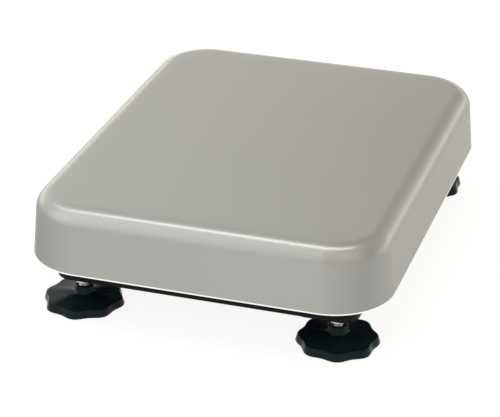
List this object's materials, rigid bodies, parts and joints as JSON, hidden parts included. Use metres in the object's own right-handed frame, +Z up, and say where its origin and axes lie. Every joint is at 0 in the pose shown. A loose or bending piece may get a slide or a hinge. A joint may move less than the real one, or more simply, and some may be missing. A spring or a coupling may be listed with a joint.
{
  "type": "animal weighing scale",
  "caption": "Low platform scale: a lift-off stainless pan with rounded corners over a black steel base on scalloped screw feet.",
  "frame": {"origin": "on the floor under the middle of the pan, feet at their stored height", "axes": "+Z up, +Y to the rear along the pan's longer side, +X to the right seen from the front"},
  "size_m": [0.3, 0.38, 0.1],
  "materials": {
    "satin_stainless": "satin, lightly brushed",
    "black_powder_coat": "fine matt powder coat",
    "black_nylon": "moulded, slight sheen",
    "grey_rubber": "matt",
    "zinc_steel": "bright zinc plate",
    "aluminium": "clear anodised",
    "level_liquid": "clear",
    "cable_jacket": "soft grey"
  },
  "bodies": {
    "base": {"base_rail_front": "black_powder_coat", "base_rail_left": "black_powder_coat", "base_rail_rear": "black_powder_coat", "base_rail_right": "black_powder_coat", "corner_front_left": "black_powder_coat", "corner_front_right": "black_powder_coat", "corner_rear_left": "black_powder_coat", "corner_rear_right": "black_powder_coat", "foot_boss_front_left": "black_powder_coat", "foot_boss_front_right": "black_powder_coat", "foot_boss_rear_left": "black_powder_coat", "foot_boss_rear_right": "black_powder_coat", "gland_body": "black_nylon", "gland_cap": "black_nylon", "gland_lock_nut": "black_nylon", "gland_seal": "grey_rubber", "level_housing": "black_nylon", "level_vial": "level_liquid", "load_cell": "aluminium", "load_cell_beam": "black_powder_coat", "load_cell_lead": "cable_jacket", "lock_nut_front_left": "zinc_steel", "lock_nut_front_right": "zinc_steel", "lock_nut_rear_left": "zinc_steel", "lock_nut_rear_right": "zinc_steel", "lower_cell_screw_left": "zinc_steel", "lower_cell_screw_right": "zinc_steel", "lower_spacer": "zinc_steel", "stop_nut_front_left": "zinc_steel", "stop_nut_front_right": "zinc_steel", "stop_nut_rear_left": "zinc_steel", "stop_nut_rear_right": "zinc_steel", "stop_stud_front_left": "zinc_steel", "stop_stud_front_right": "zinc_steel", "stop_stud_rear_left": "zinc_steel", "stop_stud_rear_right": "zinc_steel"},
    "platform": {"pan_bumper_front_left": "grey_rubber", "pan_bumper_front_right": "grey_rubber", "pan_bumper_rear_left": "grey_rubber", "pan_bumper_rear_right": "grey_rubber", "platform_plate": "black_powder_coat", "platform_tube_left": "black_powder_coat", "platform_tube_right": "black_powder_coat", "upper_cell_screw_left": "zinc_steel", "upper_cell_screw_right": "zinc_steel", "upper_spacer": "zinc_steel"},
    "pan": {"weighing_pan": "satin_stainless"},
    "foot_sole_front_left": {"foot_sole_front_left": "grey_rubber"},
    "foot_front_left": {"foot_disc_front_left": "black_nylon", "foot_stud_front_left": "zinc_steel"},
    "foot_sole_front_right": {"foot_sole_front_right": "grey_rubber"},
    "foot_front_right": {"foot_disc_front_right": "black_nylon", "foot_stud_front_right": "zinc_steel"},
    "foot_sole_rear_left": {"foot_sole_rear_left": "grey_rubber"},
    "foot_rear_left": {"foot_disc_rear_left": "black_nylon", "foot_stud_rear_left": "zinc_steel"},
    "foot_sole_rear_right": {"foot_sole_rear_right": "grey_rubber"},
    "foot_rear_right": {"foot_disc_rear_right": "black_nylon", "foot_stud_rear_right": "zinc_steel"}
  },
  "joints": [
    {"name": "platform_deflection", "type": "slide", "parent": "base", "child": "platform", "axis": [0, 0, 1], "range_m": [-0.0006, 0], "stiffness_N_per_m": 600000, "deforming": ["load_cell"]},
    {"name": "pan_lift", "type": "slide", "parent": "platform", "child": "pan", "axis": [0, 0, 1], "range_m": [0, 0.12]},
    {"name": "foot_travel_front_left", "type": "slide", "parent": "base", "child": "foot_sole_front_left", "axis": [0, 0, -1], "range_m": [-0.0025, 0.01]},
    {"name": "foot_turn_front_left", "type": "hinge", "parent": "foot_sole_front_left", "child": "foot_front_left", "pos_m": [-0.1075, -0.15, 0.01], "axis": [0, 0, 1], "range_deg": [-720, 2880]},
    {"name": "foot_travel_front_right", "type": "slide", "parent": "base", "child": "foot_sole_front_right", "axis": [0, 0, -1], "range_m": [-0.0025, 0.01]},
    {"name": "foot_turn_front_right", "type": "hinge", "parent": "foot_sole_front_right", "child": "foot_front_right", "pos_m": [0.1075, -0.15, 0.01], "axis": [0, 0, 1], "range_deg": [-720, 2880]},
    {"name": "foot_travel_rear_left", "type": "slide", "parent": "base", "child": "foot_sole_rear_left", "axis": [0, 0, -1], "range_m": [-0.0025, 0.01]},
    {"name": "foot_turn_rear_left", "type": "hinge", "parent": "foot_sole_rear_left", "child": "foot_rear_left", "pos_m": [-0.1075, 0.15, 0.01], "axis": [0, 0, 1], "range_deg": [-720, 2880]},
    {"name": "foot_travel_rear_right", "type": "slide", "parent": "base", "child": "foot_sole_rear_right", "axis": [0, 0, -1], "range_m": [-0.0025, 0.01]},
    {"name": "foot_turn_rear_right", "type": "hinge", "parent": "foot_sole_rear_right", "child": "foot_rear_right", "pos_m": [0.1075, 0.15, 0.01], "axis": [0, 0, 1], "range_deg": [-720, 2880]}
  ],
  "couplings": [
    {"joint": "foot_travel_front_left", "follows": "foot_turn_front_left", "m_per_rad": 0.00019894},
    {"joint": "foot_travel_front_right", "follows": "foot_turn_front_right", "m_per_rad": 0.00019894},
    {"joint": "foot_travel_rear_left", "follows": "foot_turn_rear_left", "m_per_rad": 0.00019894},
    {"joint": "foot_travel_rear_right", "follows": "foot_turn_rear_right", "m_per_rad": 0.00019894}
  ]
}
